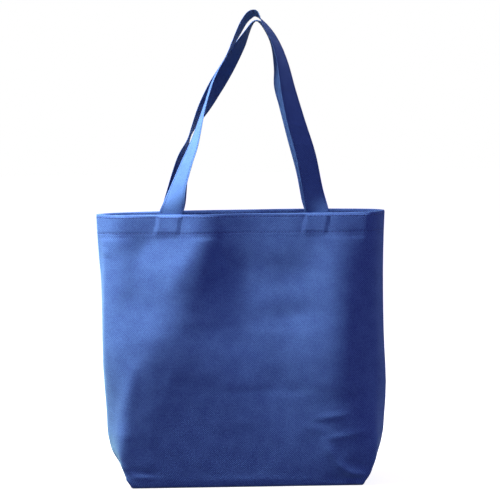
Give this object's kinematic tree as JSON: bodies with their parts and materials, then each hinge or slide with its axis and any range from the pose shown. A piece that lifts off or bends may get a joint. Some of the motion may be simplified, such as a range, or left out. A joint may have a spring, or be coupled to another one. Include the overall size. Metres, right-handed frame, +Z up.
{
  "type": "non-woven tote bag",
  "caption": "Open-topped shopping tote of non-woven fabric with a boxed base and two long flat strap handles sewn under the top hem, standing with its handles raised.",
  "frame": {"origin": "on the ground, at the middle of the object's footprint box, under the middle of the bag's mouth", "axes": "+Z up through the handles; +X to the right along the width of the bag; -Y out of the front wall, towards the viewer"},
  "size_m": [0.4036, 0.1048, 0.6617],
  "materials": {
    "bag_fabric": "royal blue spunbond non-woven with a point-bonded cross-hatch and a soft sheen",
    "strap_fabric": "the same non-woven folded in layers into a flat strap, with a soft sheen"
  },
  "bodies": {
    "root": {"bag_body": "bag_fabric", "front_handle": "strap_fabric", "rear_handle": "strap_fabric"}
  },
  "joints": []
}
